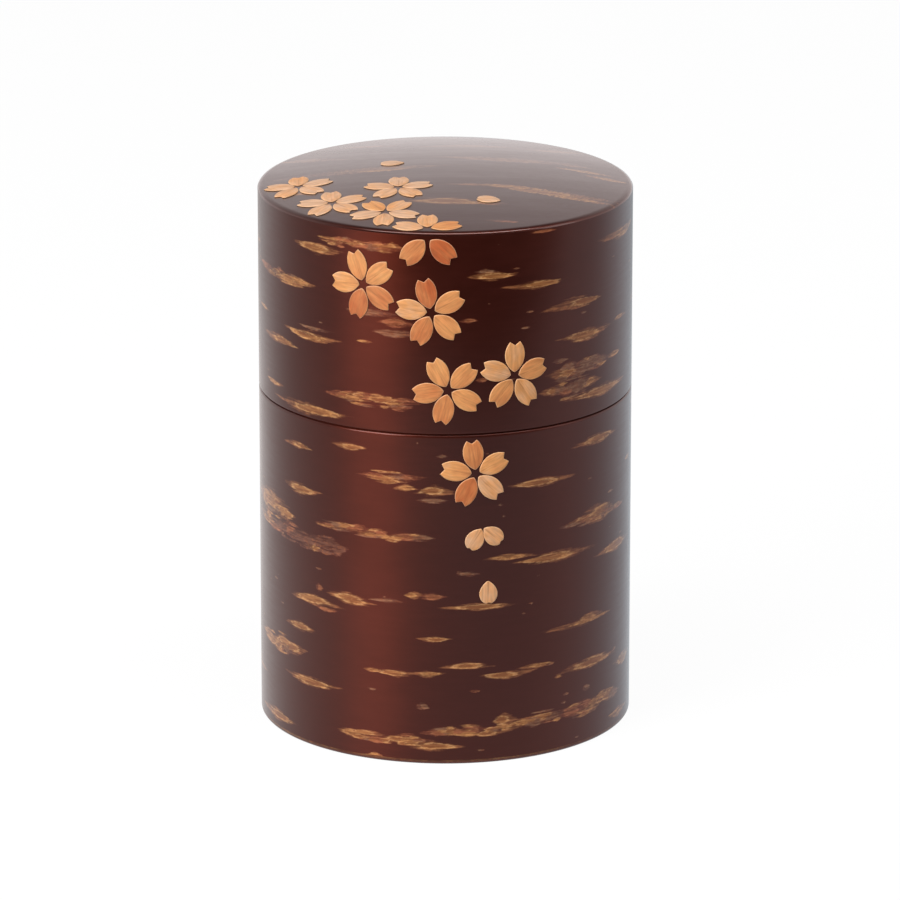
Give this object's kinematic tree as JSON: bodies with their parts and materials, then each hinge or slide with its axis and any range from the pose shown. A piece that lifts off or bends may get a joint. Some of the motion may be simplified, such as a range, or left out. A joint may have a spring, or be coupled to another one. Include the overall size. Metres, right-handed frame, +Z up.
{
  "type": "tea caddy",
  "caption": "Round bark-covered tea caddy with a deep domed lid that slides over an inner sleeve, an inner lid with a turned knob, and scattered pale wood blossom inlays.",
  "frame": {"origin": "Middle of the underside of the base, on the axis of the caddy", "axes": "+Z up along the axis of the caddy, -Y towards the front with the blossoms, +X to the right seen from the front"},
  "size_m": [0.08, 0.0803, 0.1201],
  "materials": {
    "cherry_bark": "polished cherry bark, satin",
    "blossom_wood": "pale wood inlay, waxed",
    "veneer": "rolled wood veneer, plain",
    "board_wood": "turned wood board, plain",
    "knob_wood": "turned dark wood, waxed"
  },
  "bodies": {
    "caddy_body": {"base_bark": "cherry_bark", "base_board": "board_wood", "body_core": "veneer", "body_bark": "cherry_bark", "inner_sleeve": "veneer", "floor_lining": "veneer", "body_blossom": "blossom_wood", "body_petal_pair": "blossom_wood", "body_petal": "blossom_wood"},
    "lid": {"lid_core": "veneer", "lid_board": "board_wood", "lid_bark": "cherry_bark", "lid_top_bark": "cherry_bark", "lid_top_blossom_1": "blossom_wood", "lid_top_blossom_2": "blossom_wood", "lid_top_blossom_3": "blossom_wood", "lid_top_blossom_4": "blossom_wood", "lid_top_petal_1": "blossom_wood", "lid_top_petal_2": "blossom_wood", "lid_edge_blossom_top": "blossom_wood", "lid_edge_blossom_side": "blossom_wood", "lid_side_blossom_1": "blossom_wood", "lid_side_blossom_2": "blossom_wood", "lid_side_blossom_3": "blossom_wood", "lid_side_blossom_4": "blossom_wood"},
    "inner_lid": {"inner_lid_ring": "veneer", "inner_lid_board": "board_wood", "inner_lid_bark": "cherry_bark", "inner_lid_knob": "knob_wood"}
  },
  "joints": [
    {"name": "lid_lift", "type": "slide", "parent": "caddy_body", "child": "lid", "axis": [0, 0, 1], "range_m": [0, 0.06]},
    {"name": "inner_lid_lift", "type": "slide", "parent": "caddy_body", "child": "inner_lid", "axis": [0, 0, 1], "range_m": [0, 0.009]}
  ]
}
